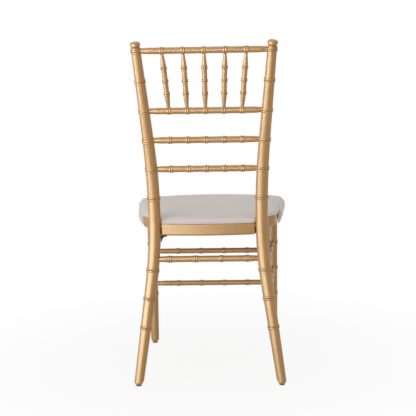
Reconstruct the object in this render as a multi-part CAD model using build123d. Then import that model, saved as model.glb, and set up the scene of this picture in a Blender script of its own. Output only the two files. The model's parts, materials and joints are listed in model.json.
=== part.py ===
from build123d import *
import math
import os

# A turned dining chair with a fanned spindle back and a thin seat pad.
# It faces -Y, +Z is up, +X is the sitter's left. Lengths are in millimetres.
# The pieces are laid out from the back posts at seat level, and the whole chair is
# moved at the end so that its origin lies on the floor, in the middle of its box.

# Heights above the floor
crest_height = 888.0
back_ring_pitch = 78.0
back_ring_count = 6
leg_ring_heights = [304.0, 228.0, 152.0]
back_stretcher_height = 333.0
front_stretcher_heights = [280.0, 182.5]
seat_frame_bottom = 397.0
seat_frame_depth = 31.0

# Back posts: distance between the two axes, and how far the ends stand back
post_spacing_seat = 284.6
post_spacing_crest = 344.8
post_spacing_foot = 383.0
crest_set_back = 78.0
foot_set_back = 60.0
bend_height = 440.0
upper_bend_length = 214.0
lower_bend_length = 180.0
post_seat_diameter = 32.6
post_crest_diameter = 24.6
post_foot_diameter = 25.0
post_full_from = 300.0
post_full_to = 540.0
post_collar_length = 16.0
post_ring_length = 11.0
post_ring_proud = 2.0

# Finial on each post, measured along the post from the crest ring
finial_height = 24.6
finial_cap_diameter = 26.8
finial_neck_diameter = 19.4
finial_bead_diameter = 23.6
finial_bead_bottom = 5.8
finial_bead_top = 9.4
finial_cap_bottom = 11.2
finial_cap_middle = 17.4
finial_rim_round = 5.6

# Front legs
front_leg_spacing = 355.0
front_leg_set_forward = 352.5
leg_top_diameter = 29.0
leg_foot_diameter = 23.6
leg_ring_length = 11.0
leg_ring_proud = 1.8
leg_tenon_diameter = 20.0
leg_tenon_length = 22.0

# Double rings: how proud the groove between the two beads stays, of the beads' own rise
ring_groove_share = 0.1

# Turned back rails and stretchers
rail_diameter = 16.6
rail_end_diameter = 14.6
rail_end_taper = 14.0
rail_ring_length = 11.0
rail_ring_proud = 1.6
stretcher_diameter = 15.2
stretcher_end_diameter = 13.4
back_stretcher_ring_pitch = 68.5
front_stretcher_ring_pitch = 68.0
side_stretcher_ring_pitch = 66.0
stretcher_rings = 4

# Spindles
spindle_count = 5
spindle_pitch_top = 53.6
spindle_pitch_bottom = 47.2
rail_ring_pitch_low = 47.0
spindle_body_diameter = 13.4
spindle_top_diameter = 8.0
spindle_bottom_diameter = 9.0
spindle_ring_length = 9.0
spindle_ring_proud = 1.7
spindle_ring_pitch = 34.0
spindle_rings = 3

# Joints
tip_from_axis = 2.0
joint_clearance = 0.1
seat_tenon_diameter = 10.0
seat_tenon_length = 16.0
seat_tenon_offset = 8.0
back_rail_gap = 4.0

# Seat frame in plan, measured from the post axes at seat level
seat_rear_half = 154.0
seat_rear_bow = 16.0
seat_shoulder_start = 90.0
seat_shoulder_end = 122.0
seat_shoulder_half = 182.0
seat_shoulder_radius = 28.0
seat_waist_radius = 50.0
seat_front_half = 201.0
seat_front_forward = 372.0
seat_front_bow = 14.0
seat_corner_radius = 26.0
seat_rail_width = 24.0
seat_rail_round = 5.0
seat_inner_radius = 50.0
front_joint_half = 120.0
side_rail_start = 12.0
seat_board_ledge = 10.0
seat_board_thickness = 9.0
seat_board_clearance = 0.5

# Rear corner blocks
block_depth = 18.0
block_reach = 58.0
block_side_reach = 72.0

# Corner brace, bent from black steel sheet
brace_thickness = 2.0
brace_reach = 17.0
brace_drop = 18.0
brace_flange_width = 12.0
brace_curve_inset = 6.5

# Seat pad
pad_overhang = 9.0
pad_rear_overhang = 2.5
pad_edge_thickness = 8.0
pad_crown = 12.0
pad_corner_radius = 34.0
pad_edge_round = 5.0
pad_clearance = 0.3
pad_waist = 3.0
skirt_from = 200.0
skirt_drop = 39.0
skirt_gap = 0.5

# Screws, chamfered feet and foot glides
foot_chamfer_depth = 4.0
foot_chamfer_height = 7.0
screw_diameter = 4.0
screw_head_diameter = 8.0
screw_head_height = 3.0
board_screw_length = 22.0
side_screw_forward = 220.0
block_screw_length = 26.0
brace_screw_length = 14.0
glide_diameter = 15.0
glide_thickness = 4.0
glide_round = 1.5
glide_pin_diameter = 4.0
glide_pin_length = 14.0

# Values that follow from the sizes above
seat_frame_top = seat_frame_bottom + seat_frame_depth
seat_collar_height = seat_frame_bottom + (seat_frame_depth - brace_drop) / 2
board_underside = seat_frame_top - seat_board_thickness
pad_underside = seat_frame_top + pad_clearance
back_ring_heights = [crest_height - step * back_ring_pitch for step in range(back_ring_count)]
spindle_rail_height = back_ring_heights[2]
middle_rail_height = back_ring_heights[3]
lower_rail_height = back_ring_heights[4]
large = 4 * crest_height


def bend(distance, length, total, reach):
    """Offset and slope of a post at a distance from its upright point.

    The post curves over the given length and then runs straight, so that it stands
    the given reach out at the total distance.
    """
    slope = reach / (total - length / 2)
    if distance < length:
        return slope * distance**2 / (2 * length), slope * distance / length
    return slope * (distance - length / 2), slope


def post_point(z):
    """Point on the axis of the left back post, and its direction, at a height."""
    if z >= bend_height:
        total = crest_height - bend_height
        length = upper_bend_length
        out = (post_spacing_crest - post_spacing_seat) / 2
        back = crest_set_back
        sense = 1
    else:
        total = bend_height
        length = lower_bend_length
        out = (post_spacing_foot - post_spacing_seat) / 2
        back = foot_set_back
        sense = -1
    distance = abs(z - bend_height)
    x, x_slope = bend(distance, length, total, out)
    y, y_slope = bend(distance, length, total, back)
    point = Vector(post_spacing_seat / 2 + x, y, z)
    direction = Vector(sense * x_slope, sense * y_slope, 1).normalized()
    return point, direction


def post_radius(z):
    """Radius of the plain post between its rings, at a height."""
    full = post_seat_diameter / 2
    if z < post_full_from:
        share = z / post_full_from
        return post_foot_diameter / 2 + share * (full - post_foot_diameter / 2)
    if z > post_full_to:
        share = (z - post_full_to) / (crest_height - post_full_to)
        return full + share * (post_crest_diameter / 2 - full)
    return full


def square_plane(point, direction):
    """Plane at a point, square to a direction, with a steady X axis."""
    steady = Vector(0, 0, 1) if abs(direction.X) > abs(direction.Z) else Vector(1, 0, 0)
    flat = steady - direction * steady.dot(direction)
    return Plane(origin=point, x_dir=flat, z_dir=direction)


def place(solid, start, end):
    """Set a piece made along +Z on the line from one point to another."""
    return square_plane(start, (end - start).normalized()).location * solid


def radius_along(stations, distance):
    """Radius of a turned outline at a distance, from its corner points."""
    for (low, low_radius), (high, high_radius) in zip(stations, stations[1:]):
        if low <= distance <= high and high > low:
            return low_radius + (high_radius - low_radius) * (distance - low) / (high - low)
    return stations[-1][1]


def ring_edges(stations, centre, length, proud):
    """Outline of one double ring: two round beads with a groove between them."""
    start = (radius_along(stations, centre - length / 2), centre - length / 2)
    end = (radius_along(stations, centre + length / 2), centre + length / 2)
    middle = radius_along(stations, centre)
    groove = (middle + proud * ring_groove_share, centre)
    low_bead = (middle + proud, centre - length / 4)
    high_bead = (middle + proud, centre + length / 4)
    arcs = [ThreePointArc(start, low_bead, groove), ThreePointArc(groove, high_bead, end)]
    return start, end, arcs


def turned(stations, rings, ring_length, ring_proud):
    """Solid turned about +Z from (distance, radius) corners, with double rings."""
    corners = [(radius, distance) for distance, radius in stations]
    ends = [(0, stations[-1][0]), (0, stations[0][0]), corners[0]]
    edges = []
    here = corners[0]
    waiting = corners[1:]
    for centre in sorted(rings):
        start, end, arcs = ring_edges(stations, centre, ring_length, ring_proud)
        while waiting[0][1] < start[1]:
            edges.append(Line(here, waiting[0]))
            here = waiting.pop(0)
        edges.append(Line(here, start))
        edges += arcs
        here = end
    for corner in waiting + ends:
        edges.append(Line(here, corner))
        here = corner
    return revolve(Plane.XZ * make_face(edges), Axis.Z)


def rod(start, end, radius):
    """Plain round rod from one point to another."""
    length = (end - start).length
    return place(Cylinder(radius, length, align=(Align.CENTER, Align.CENTER, Align.MIN)), start, end)


def evenly(count, pitch):
    """Places of a row of things about its middle."""
    return [(index - (count - 1) / 2) * pitch for index in range(count)]


def turned_rail(length, diameter, end_diameter, ring_places, end_cover):
    """Rail turned about +Z with tapered ends, which sit in sockets."""
    body = diameter / 2
    end = end_diameter / 2
    stations = [
        (0, end),
        (end_cover, end),
        (end_cover + rail_end_taper, body),
        (length - end_cover - rail_end_taper, body),
        (length - end_cover, end),
        (length, end),
    ]
    rings = [length / 2 + place_along for place_along in ring_places]
    return turned(stations, rings, rail_ring_length, rail_ring_proud)


def mirrored(point):
    """The same point on the right side of the chair."""
    return Vector(-point.X, point.Y, point.Z)


def rail_ends(left_axis, right_axis):
    """End points of a rail that stops just short of the two axes it joins."""
    along = (right_axis - left_axis).normalized()
    return left_axis + along * tip_from_axis, right_axis - along * tip_from_axis


def socket(tip, towards, diameter):
    """Blind hole for a rail end: it starts at the tip and runs out along the rail."""
    along = (towards - tip).normalized()
    floor = tip - along * joint_clearance
    mouth = tip + along * post_seat_diameter
    return rod(floor, mouth, diameter / 2 + joint_clearance)


def cross_rail(left_axis, right_axis, diameter, end_diameter, ring_places):
    """Turned rail between two axes, and the sockets for its two ends."""
    left_tip, right_tip = rail_ends(left_axis, right_axis)
    length = (right_tip - left_tip).length
    covered = post_seat_diameter / 2 + post_ring_proud - tip_from_axis
    rail = place(
        turned_rail(length, diameter, end_diameter, ring_places, covered),
        left_tip,
        right_tip,
    )
    holes = [socket(left_tip, right_tip, end_diameter), socket(right_tip, left_tip, end_diameter)]
    return rail, holes


def seat_side_half(forward):
    """Half the width of the seat frame at a distance forward of its shoulders."""
    share = (forward - seat_shoulder_end) / (seat_front_forward - seat_shoulder_end)
    return seat_shoulder_half + share * (seat_front_half - seat_shoulder_half)


def seat_face(grow, rear_grow, corner_radius):
    """Seat outline in plan, grown on the sides and front and on the rear edge.

    It is narrow between the posts, widens at a shoulder in front of them and is bowed
    at the rear and the front.
    """
    turn = math.atan2(seat_shoulder_half - seat_rear_half, seat_shoulder_end - seat_shoulder_start)
    slip = grow * math.tan(turn / 2)
    left = [
        (seat_rear_half + grow, rear_grow),
        (seat_rear_half + grow, slip - seat_shoulder_start),
        (seat_shoulder_half + grow, slip - seat_shoulder_end),
        (seat_front_half + grow, -seat_front_forward - grow),
    ]
    right = [(-x, y) for x, y in reversed(left)]
    rear_middle = (0, seat_rear_bow + rear_grow)
    front_middle = (0, -seat_front_forward - seat_front_bow - grow)
    edges = [ThreePointArc(right[-1], rear_middle, left[0])]
    edges += [Line(start, end) for start, end in zip(left, left[1:])]
    edges.append(ThreePointArc(left[-1], front_middle, right[0]))
    edges += [Line(start, end) for start, end in zip(right, right[1:])]
    face = make_face(edges)
    radii = [corner_radius, seat_shoulder_radius, seat_waist_radius]
    for pair, radius in reversed(list(enumerate(radii))):
        corners = face.vertices().sort_by(Axis.Y)[2 * pair:2 * pair + 2]
        face = fillet(corners, radius)
    return face


def slab(face, low, high):
    """Solid from a plan outline, between two heights."""
    return extrude(Pos(0, 0, low) * face, amount=high - low, dir=(0, 0, 1))


def block(x_range, y_range, z_range):
    """Box between two corners."""
    sizes = [high - low for low, high in (x_range, y_range, z_range)]
    corner = Pos(x_range[0], y_range[0], z_range[0])
    return corner * Box(*sizes, align=(Align.MIN, Align.MIN, Align.MIN))


def post_collars():
    """Straight turned stretches of a post, from the foot up: height, half length, ringed."""
    half = post_collar_length / 2
    seat_half = (seat_frame_depth + brace_drop + half) / 2
    collars = [(z, half, True) for z in reversed(leg_ring_heights)]
    collars += [(back_stretcher_height, half, False), (seat_collar_height, seat_half, False)]
    collars += [(z, half, True) for z in reversed(back_ring_heights)]
    return collars


def post_collar(z, half, ringed):
    """One straight stretch of the left post, with a double ring where it has one."""
    point, direction = post_point(z)
    rise = half * direction.Z
    stations = [(-half, post_radius(z - rise)), (half, post_radius(z + rise))]
    rings = [0] if ringed else []
    return aimed(turned(stations, rings, post_ring_length, post_ring_proud), point, direction)


def post_station(z, along=0):
    """Plane and radius of the left post, moved along the straight axis that it has at a height."""
    point, direction = post_point(z)
    return square_plane(point + direction * along, direction), post_radius(z + along * direction.Z)


def post_link(low, high):
    """Stretch of the left post between two stations: a cone, or a loft where it is bent."""
    low_plane, low_radius = low
    high_plane, high_radius = high
    straight_below = high_plane.origin.Z <= bend_height - lower_bend_length
    straight_above = low_plane.origin.Z >= bend_height + upper_bend_length
    if straight_below or straight_above:
        length = (high_plane.origin - low_plane.origin).length
        return low_plane.location * turned([(0, low_radius), (length, high_radius)], [], 0, 0)
    middle_plane, middle_radius = post_station((low_plane.origin.Z + high_plane.origin.Z) / 2)
    return loft(
        [
            low_plane * Circle(low_radius),
            middle_plane * Circle(middle_radius),
            high_plane * Circle(high_radius),
        ]
    )


def post_body():
    """Left back post without its sockets: turned collars joined by bent, tapered stretches."""
    solids = [finial()]
    below = post_station(-glide_thickness)
    for z, half, ringed in post_collars():
        solids.append(post_link(below, post_station(z, -half)))
        solids.append(post_collar(z, half, ringed))
        below = post_station(z, half)
    body = Part() + solids
    body -= block((-large, large), (-large, large), (-large, glide_thickness))
    return body - foot_chamfer()


def foot_chamfer():
    """Cut round the foot of the left post, a cone that leaves the bevelled end."""
    bottom = post_foot_diameter / 2 - foot_chamfer_depth
    rise = post_foot_diameter
    top = bottom + rise * foot_chamfer_depth / foot_chamfer_height
    upright = (Align.CENTER, Align.CENTER, Align.MIN)
    cut = Cylinder(post_foot_diameter, rise, align=upright) - Cone(bottom, top, rise, align=upright)
    foot = post_point(glide_thickness)[0]
    return Pos(foot.X, foot.Y, glide_thickness) * cut


def post_room(clearance):
    """Round space for the left post through the seat, with a clearance."""
    point, direction = post_point(seat_collar_height)
    reach = direction * back_ring_pitch
    return rod(point - reach, point + reach, post_seat_diameter / 2 + clearance)


def finial():
    """Turned finial of the left post: neck, bead and a flat button cap with a round rim."""
    neck = finial_neck_diameter / 2
    bead = finial_bead_diameter / 2
    cap = finial_cap_diameter / 2
    bead_middle = (finial_bead_bottom + finial_bead_top) / 2
    under_angle = math.pi / 4
    rim_middle = cap - finial_rim_round
    under_side = neck + (cap - neck) * math.sin(under_angle)
    under_rise = finial_cap_middle - (finial_cap_middle - finial_cap_bottom) * math.cos(under_angle)
    rim_side = rim_middle + finial_rim_round * math.cos(under_angle)
    rim_rise = finial_cap_middle + finial_rim_round * math.sin(under_angle)
    rim_top = finial_cap_middle + finial_rim_round
    dome = finial_height - rim_top
    dome_radius = (rim_middle**2 + dome**2) / (2 * dome)
    dome_half = rim_middle / 2
    dome_rise = finial_height - dome_radius + math.sqrt(dome_radius**2 - dome_half**2)
    edges = [
        Line((0, 0), (neck, 0)),
        Line((neck, 0), (neck, finial_bead_bottom)),
        ThreePointArc((neck, finial_bead_bottom), (bead, bead_middle), (neck, finial_bead_top)),
        Line((neck, finial_bead_top), (neck, finial_cap_bottom)),
        ThreePointArc((neck, finial_cap_bottom), (under_side, under_rise), (cap, finial_cap_middle)),
        ThreePointArc((cap, finial_cap_middle), (rim_side, rim_rise), (rim_middle, rim_top)),
        ThreePointArc((rim_middle, rim_top), (dome_half, dome_rise), (0, finial_height)),
        Line((0, finial_height), (0, 0)),
    ]
    shape = revolve(Plane.XZ * make_face(edges), Axis.Z)
    return square_plane(*post_point(crest_height)).location * shape


def front_leg_axis(z):
    """Point on the axis of the left front leg at a height."""
    return Vector(front_leg_spacing / 2, -front_leg_set_forward, z)


def front_leg_body():
    """Left front leg without its sockets: tapered, ringed, with a tenon on top."""
    stations = [
        (glide_thickness, leg_foot_diameter / 2 - foot_chamfer_depth),
        (glide_thickness + foot_chamfer_height, leg_foot_diameter / 2),
        (seat_frame_bottom, leg_top_diameter / 2),
        (seat_frame_bottom, leg_tenon_diameter / 2),
        (seat_frame_bottom + leg_tenon_length, leg_tenon_diameter / 2),
    ]
    leg = turned(stations, leg_ring_heights, leg_ring_length, leg_ring_proud)
    foot = front_leg_axis(0)
    return Pos(foot.X, foot.Y, 0) * leg


def spindle(bottom, top):
    """Spindle about +Z, tapered to both ends from a ringed middle."""
    length = (top - bottom).length
    body = spindle_body_diameter / 2
    ring_span = (spindle_rings - 1) * spindle_ring_pitch / 2 + spindle_ring_length
    stations = [
        (0, spindle_bottom_diameter / 2),
        (rail_diameter / 2, spindle_bottom_diameter / 2),
        (length / 2 - ring_span, body),
        (length / 2 + ring_span, body),
        (length - rail_diameter / 2, spindle_top_diameter / 2),
        (length, spindle_top_diameter / 2),
    ]
    rings = [length / 2 + along for along in evenly(spindle_rings, spindle_ring_pitch)]
    return place(turned(stations, rings, spindle_ring_length, spindle_ring_proud), bottom, top)


def glide():
    """Foot glide about +Z with its pin."""
    disc = Cylinder(glide_diameter / 2, glide_thickness, align=(Align.CENTER, Align.CENTER, Align.MIN))
    disc = fillet(disc.edges().sort_by(Axis.Z)[0], glide_round)
    return disc + Pos(0, 0, glide_thickness) * glide_pin(0)


def glide_pin(clearance):
    """Pin of a foot glide, or the hole for it."""
    return Cylinder(
        glide_pin_diameter / 2 + clearance,
        glide_pin_length + clearance,
        align=(Align.CENTER, Align.CENTER, Align.MIN),
    )


def screw(length, clearance):
    """Countersunk screw with its head's top at the origin, pointing down."""
    head = screw_head_diameter / 2 + clearance
    shank = screw_diameter / 2 + clearance
    tip = -length - clearance
    outline = Polyline(
        (0, tip),
        (shank, tip + shank),
        (shank, -screw_head_height),
        (head, 0),
        (0, 0),
        (0, tip),
    )
    return revolve(Plane.XZ * make_face(outline), Axis.Z)


def aimed(solid, point, direction):
    """Set a piece made about +Z at a point, with +Z along a direction."""
    return square_plane(point, direction).location * solid


pieces = {}


def add_pair(name, left):
    """Keep a left piece and its mirror image on the right."""
    pieces[name + "_left"] = left
    pieces[name + "_right"] = mirror(left, about=Plane.YZ)


# Back rails, back stretcher and their sockets in the left post
post_cuts = []
rail_pitches = {
    "crest_rail": (crest_height, spindle_pitch_top),
    "spindle_rail": (spindle_rail_height, spindle_pitch_bottom),
    "middle_back_rail": (middle_rail_height, rail_ring_pitch_low),
    "lower_back_rail": (lower_rail_height, rail_ring_pitch_low),
}
for rail_name, (rail_height, ring_pitch) in rail_pitches.items():
    left_axis = post_point(rail_height)[0]
    rail, holes = cross_rail(
        left_axis,
        mirrored(left_axis),
        rail_diameter,
        rail_end_diameter,
        evenly(spindle_count, ring_pitch),
    )
    pieces[rail_name] = rail
    post_cuts.append(holes[0])

left_axis = post_point(back_stretcher_height)[0]
pieces["back_stretcher"], holes = cross_rail(
    left_axis,
    mirrored(left_axis),
    rail_diameter,
    rail_end_diameter,
    evenly(stretcher_rings, back_stretcher_ring_pitch),
)
post_cuts.append(holes[0])

# Front stretchers and their sockets in the left front leg
leg_cuts = []
for stretcher_name, stretcher_height in zip(("upper", "lower"), front_stretcher_heights):
    left_axis = front_leg_axis(stretcher_height)
    stretcher, holes = cross_rail(
        left_axis,
        mirrored(left_axis),
        stretcher_diameter,
        stretcher_end_diameter,
        evenly(stretcher_rings, front_stretcher_ring_pitch),
    )
    pieces[stretcher_name + "_front_stretcher"] = stretcher
    leg_cuts.append(holes[0])

# Side stretchers at the two upper leg rings
for stretcher_name, stretcher_height in zip(("upper", "lower"), leg_ring_heights):
    stretcher, holes = cross_rail(
        front_leg_axis(stretcher_height),
        post_point(stretcher_height)[0],
        stretcher_diameter,
        stretcher_end_diameter,
        evenly(stretcher_rings, side_stretcher_ring_pitch),
    )
    add_pair(stretcher_name + "_side_stretcher", stretcher)
    leg_cuts.append(holes[0])
    post_cuts.append(holes[1])

# Spindles, fanned between the spindle rail and the crest rail
low_rail_axis = Vector(0, post_point(spindle_rail_height)[0].Y, spindle_rail_height)
high_rail_axis = Vector(0, post_point(crest_height)[0].Y, crest_height)
tops = evenly(spindle_count, spindle_pitch_top)
bottoms = evenly(spindle_count, spindle_pitch_bottom)
for number, (top_x, bottom_x) in enumerate(zip(tops, bottoms), start=1):
    bottom, top = rail_ends(low_rail_axis + Vector(bottom_x, 0, 0), high_rail_axis + Vector(top_x, 0, 0))
    pieces["spindle_" + str(number)] = spindle(bottom, top)
    pieces["spindle_rail"] -= socket(bottom, top, spindle_bottom_diameter)
    pieces["crest_rail"] -= socket(top, bottom, spindle_top_diameter)

# Seat frame: one ring in plan, split into four rails
outer = seat_face(0, 0, seat_corner_radius)
inner = seat_face(-seat_rail_width, -seat_rail_width, seat_inner_radius)
ledge = seat_face(seat_board_ledge - seat_rail_width, seat_board_ledge - seat_rail_width, seat_corner_radius)
frame_ring = slab(outer - inner, seat_frame_bottom, seat_frame_top)
frame_underside = frame_ring.faces().sort_by(Axis.Z)[0]
frame_ring = fillet(frame_underside.outer_wire().edges(), seat_rail_round)
frame_ring -= slab(ledge, board_underside, seat_frame_top)
seat_heights = (seat_frame_bottom, seat_frame_top)
post_clear = post_room(joint_clearance)
post_inner_face = post_point(seat_frame_bottom)[0].X - post_seat_diameter / 2
back_rail_half = post_inner_face - back_rail_gap
rear_zone = (-seat_front_forward / 2, large)
front_zone = (-large, -seat_front_forward / 2)
back_rail = frame_ring & block((-back_rail_half, back_rail_half), rear_zone, seat_heights)
front_rail = frame_ring & block((-front_joint_half, front_joint_half), front_zone, seat_heights)
side_rail = frame_ring & block((0, large), (-large, -side_rail_start), seat_heights)
side_rail -= block((-large, front_joint_half), front_zone, seat_heights)
side_rail -= block((-large, back_rail_half), rear_zone, seat_heights)
side_rail -= post_clear

# Tenons of the seat frame in the posts, and of the front legs in the side rails
rail_middle = seat_frame_bottom + seat_frame_depth / 2
high_tenon = rail_middle + seat_tenon_offset
low_tenon = rail_middle - seat_tenon_offset
post_axis_high = post_point(high_tenon)[0]
back_tenon_start = Vector(back_rail_half - seat_tenon_length, post_axis_high.Y - tip_from_axis, high_tenon)
back_tenon_tip = Vector(post_axis_high.X - tip_from_axis, back_tenon_start.Y, high_tenon)
back_tenon = rod(back_tenon_start, back_tenon_tip, seat_tenon_diameter / 2)
back_rail += back_tenon
back_rail += mirror(back_tenon, about=Plane.YZ)
post_cuts.append(socket(back_tenon_tip, back_tenon_start, seat_tenon_diameter))

post_axis_low = post_point(low_tenon)[0]
side_run = Vector(front_leg_spacing / 2, -front_leg_set_forward, low_tenon) - post_axis_low
side_along = side_run.normalized()
side_tenon_tip = post_axis_low + side_along * tip_from_axis
side_tenon_end = post_axis_low + side_along * (post_seat_diameter / 2 + seat_tenon_length)
side_rail += rod(side_tenon_tip, side_tenon_end, seat_tenon_diameter / 2)
post_cuts.append(socket(side_tenon_tip, side_tenon_end, seat_tenon_diameter))

leg_tenon_top = front_leg_axis(seat_frame_bottom + leg_tenon_length + joint_clearance)
side_rail -= rod(front_leg_axis(0), leg_tenon_top, leg_tenon_diameter / 2 + joint_clearance)

# Seat board, notched round the posts
board_face = seat_face(
    seat_board_ledge - seat_rail_width - seat_board_clearance,
    seat_board_ledge - seat_rail_width - seat_board_clearance,
    seat_corner_radius,
)
seat_board = slab(board_face, board_underside, seat_frame_top)
board_notch = post_room(back_rail_gap)
seat_board -= board_notch
seat_board -= mirror(board_notch, about=Plane.YZ)

# Rear corner blocks
block_face = seat_face(
    -seat_rail_width - joint_clearance,
    -seat_rail_width - joint_clearance,
    seat_inner_radius,
)
corner_x = seat_rear_half - seat_rail_width
corner_y = -seat_rail_width
corner_wedge = make_face(
    Polyline(
        (corner_x - block_reach, corner_y + block_reach),
        (corner_x - block_reach, corner_y),
        (corner_x + block_depth, corner_y - block_side_reach),
        (corner_x + block_reach, corner_y + block_reach),
        (corner_x - block_reach, corner_y + block_reach),
    )
)
block_top = board_underside - joint_clearance
corner_block = slab(block_face & corner_wedge, block_top - block_depth, block_top)
corner_block -= post_clear
corner_block -= rod(side_tenon_tip, side_tenon_end, seat_tenon_diameter / 2 + joint_clearance)

# Corner block screws: one into the back rail, one into the side rail
screw_height = block_top - block_depth / 2
block_seat = screw_head_height + screw_diameter
back_screw_at = Vector(corner_x - block_reach / 2, corner_y - block_seat, screw_height)
side_screw_at = Vector(corner_x - block_seat, corner_y - block_reach / 2, screw_height)
block_screws = []
for head_at, direction in ((back_screw_at, Vector(0, -1, 0)), (side_screw_at, Vector(-1, 0, 0))):
    hole = aimed(screw(block_screw_length, joint_clearance), head_at, direction)
    pocket = rod(head_at, head_at + direction * block_reach, screw_head_diameter / 2 + joint_clearance)
    corner_block -= hole + pocket
    back_rail -= hole
    back_rail -= mirror(hole, about=Plane.YZ)
    side_rail -= hole
    block_screws.append(aimed(screw(block_screw_length, 0), head_at, direction))

# Seat board screws, down through the board into the ledge
screw_inset = seat_rail_width - seat_board_ledge / 2
front_screw_y = -seat_front_forward - seat_front_bow + screw_inset
rear_screw_y = seat_rear_bow - screw_inset
side_screw_half = seat_side_half(side_screw_forward) - screw_inset
board_screw_places = [
    (0, rear_screw_y),
    (0, front_screw_y),
    (side_screw_half, -side_screw_forward),
    (-side_screw_half, -side_screw_forward),
]
board_screws = []
for x, y in board_screw_places:
    place_at = Pos(x, y, seat_frame_top)
    hole = place_at * screw(board_screw_length, joint_clearance)
    seat_board -= hole
    back_rail -= hole
    front_rail -= hole
    if x >= 0:
        side_rail -= hole
    board_screws.append(place_at * screw(board_screw_length, 0))

# Corner brace: a curved web with one flange under the back rail and one on the left post
brace_top = seat_frame_bottom - joint_clearance
brace_right = post_inner_face - joint_clearance
web_y = (post_axis_high.Y - brace_thickness) / 2
web_edges = [
    Line((brace_right, brace_top), (brace_right, brace_top - brace_drop)),
    ThreePointArc(
        (brace_right, brace_top - brace_drop),
        (brace_right - brace_curve_inset, brace_top - brace_curve_inset),
        (brace_right - brace_reach, brace_top),
    ),
    Line((brace_right - brace_reach, brace_top), (brace_right, brace_top)),
]
web_face = Plane.XZ.offset(-web_y) * make_face(web_edges)
brace = extrude(web_face, amount=brace_thickness, dir=(0, 1, 0))
flange_y = (web_y - brace_flange_width, web_y + brace_thickness)
brace += block(
    (brace_right - brace_reach, back_rail_half),
    flange_y,
    (brace_top - brace_thickness, brace_top),
)
brace += block(
    (brace_right - brace_thickness, brace_right),
    flange_y,
    (brace_top - brace_drop, brace_top),
)
brace_screw_y = web_y - brace_flange_width / 2
under_at = Vector(
    brace_right - brace_reach + screw_head_diameter / 2 + brace_thickness,
    brace_screw_y,
    brace_top - brace_thickness - screw_head_height,
)
post_at = Vector(brace_right - brace_thickness - screw_head_height, brace_screw_y, brace_top - brace_drop / 2)
brace_screws = []
brace_holes = []
for head_at, direction in ((under_at, Vector(0, 0, -1)), (post_at, Vector(-1, 0, 0))):
    hole = aimed(screw(brace_screw_length, joint_clearance), head_at, direction)
    brace -= hole
    back_rail -= hole
    brace_holes.append(hole)
    brace_screws.append(aimed(screw(brace_screw_length, 0), head_at, direction))

# Seat pad: crowned top, rounded edges, and a skirt over the front and sides
pad_top = pad_underside + pad_edge_thickness + pad_crown
pad_face = seat_face(pad_overhang, pad_rear_overhang, pad_corner_radius)
pad_half_depth = (seat_rear_bow + seat_front_forward + seat_front_bow) / 2
pad_middle = seat_rear_bow - pad_half_depth
pad_half_diagonal = math.hypot(seat_front_half, pad_half_depth)
crown_radius = (pad_half_diagonal**2 + pad_crown**2) / (2 * pad_crown)
crown_ball = Pos(0, pad_middle, pad_top - crown_radius) * Sphere(crown_radius)
seat_pad = slab(pad_face, pad_underside, pad_top) & crown_ball
top_face = seat_pad.faces().sort_by(Axis.Z)[-1]
seat_pad = fillet(top_face.edges(), pad_edge_round)
skirt_inside = seat_face(skirt_gap, skirt_gap, seat_corner_radius)
skirt_top = pad_underside + (pad_edge_thickness - pad_edge_round) / 2
skirt = slab(pad_face - skirt_inside, seat_frame_top - skirt_drop, skirt_top)
skirt &= block((-large, large), (-large, -skirt_from), (-large, large))
seat_pad += skirt
pad_notch = post_room(pad_waist)
pad_notch += block(
    (post_axis_high.X, large),
    (post_axis_high.Y - post_seat_diameter / 2 - pad_waist, large),
    (pad_underside - pad_waist, pad_top + pad_waist),
)
seat_pad -= pad_notch
seat_pad -= mirror(pad_notch, about=Plane.YZ)

# Posts and front legs with their sockets and glides
back_post = post_body()
for cut in post_cuts:
    back_post -= cut
front_leg = front_leg_body()
for cut in leg_cuts:
    front_leg -= cut
back_foot = Pos(post_point(glide_thickness)[0].X, post_point(glide_thickness)[0].Y, 0)
front_foot = Pos(front_leg_axis(0).X, front_leg_axis(0).Y, 0)
back_post -= back_foot * Pos(0, 0, glide_thickness) * glide_pin(joint_clearance)
front_leg -= front_foot * Pos(0, 0, glide_thickness) * glide_pin(joint_clearance)

add_pair("back_post", back_post)
for hole in brace_holes:
    pieces["back_post_left"] -= hole
add_pair("front_leg", front_leg)
add_pair("back_foot_glide", back_foot * glide())
add_pair("front_foot_glide", front_foot * glide())
add_pair("seat_side_rail", side_rail)
add_pair("rear_corner_block", corner_block)
pieces["corner_brace"] = brace
pieces["seat_back_rail"] = back_rail
pieces["seat_front_rail"] = front_rail
pieces["seat_board"] = seat_board
pieces["seat_pad"] = seat_pad


def group(shapes):
    """One node of separate solids."""
    return Compound([shape.solid() for shape in shapes])


def both_sides(shapes):
    """A group of these solids and their mirror images."""
    return group(shapes + [mirror(shape, about=Plane.YZ) for shape in shapes])


pieces["corner_block_screws"] = both_sides(block_screws)
pieces["brace_screws"] = group(brace_screws)
pieces["seat_board_screws"] = group(board_screws)

# Move the origin to the floor in the middle of the chair's box, and write the pieces
corners = [piece.bounding_box() for piece in pieces.values()]
front_edge = min(corner.min.Y for corner in corners)
rear_edge = max(corner.max.Y for corner in corners)
to_origin = Pos(0, -(front_edge + rear_edge) / 2, 0)
print("post axes at seat level lie at Y", round(to_origin.position.Y, 3))
os.makedirs("parts", exist_ok=True)
for piece_name, piece in pieces.items():
    export_step(to_origin * piece, os.path.join("parts", piece_name + ".step"))
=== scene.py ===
import json
import math

import bmesh
import bpy
from mathutils import Matrix, Vector, noise
from mathutils.bvhtree import BVHTree


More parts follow.
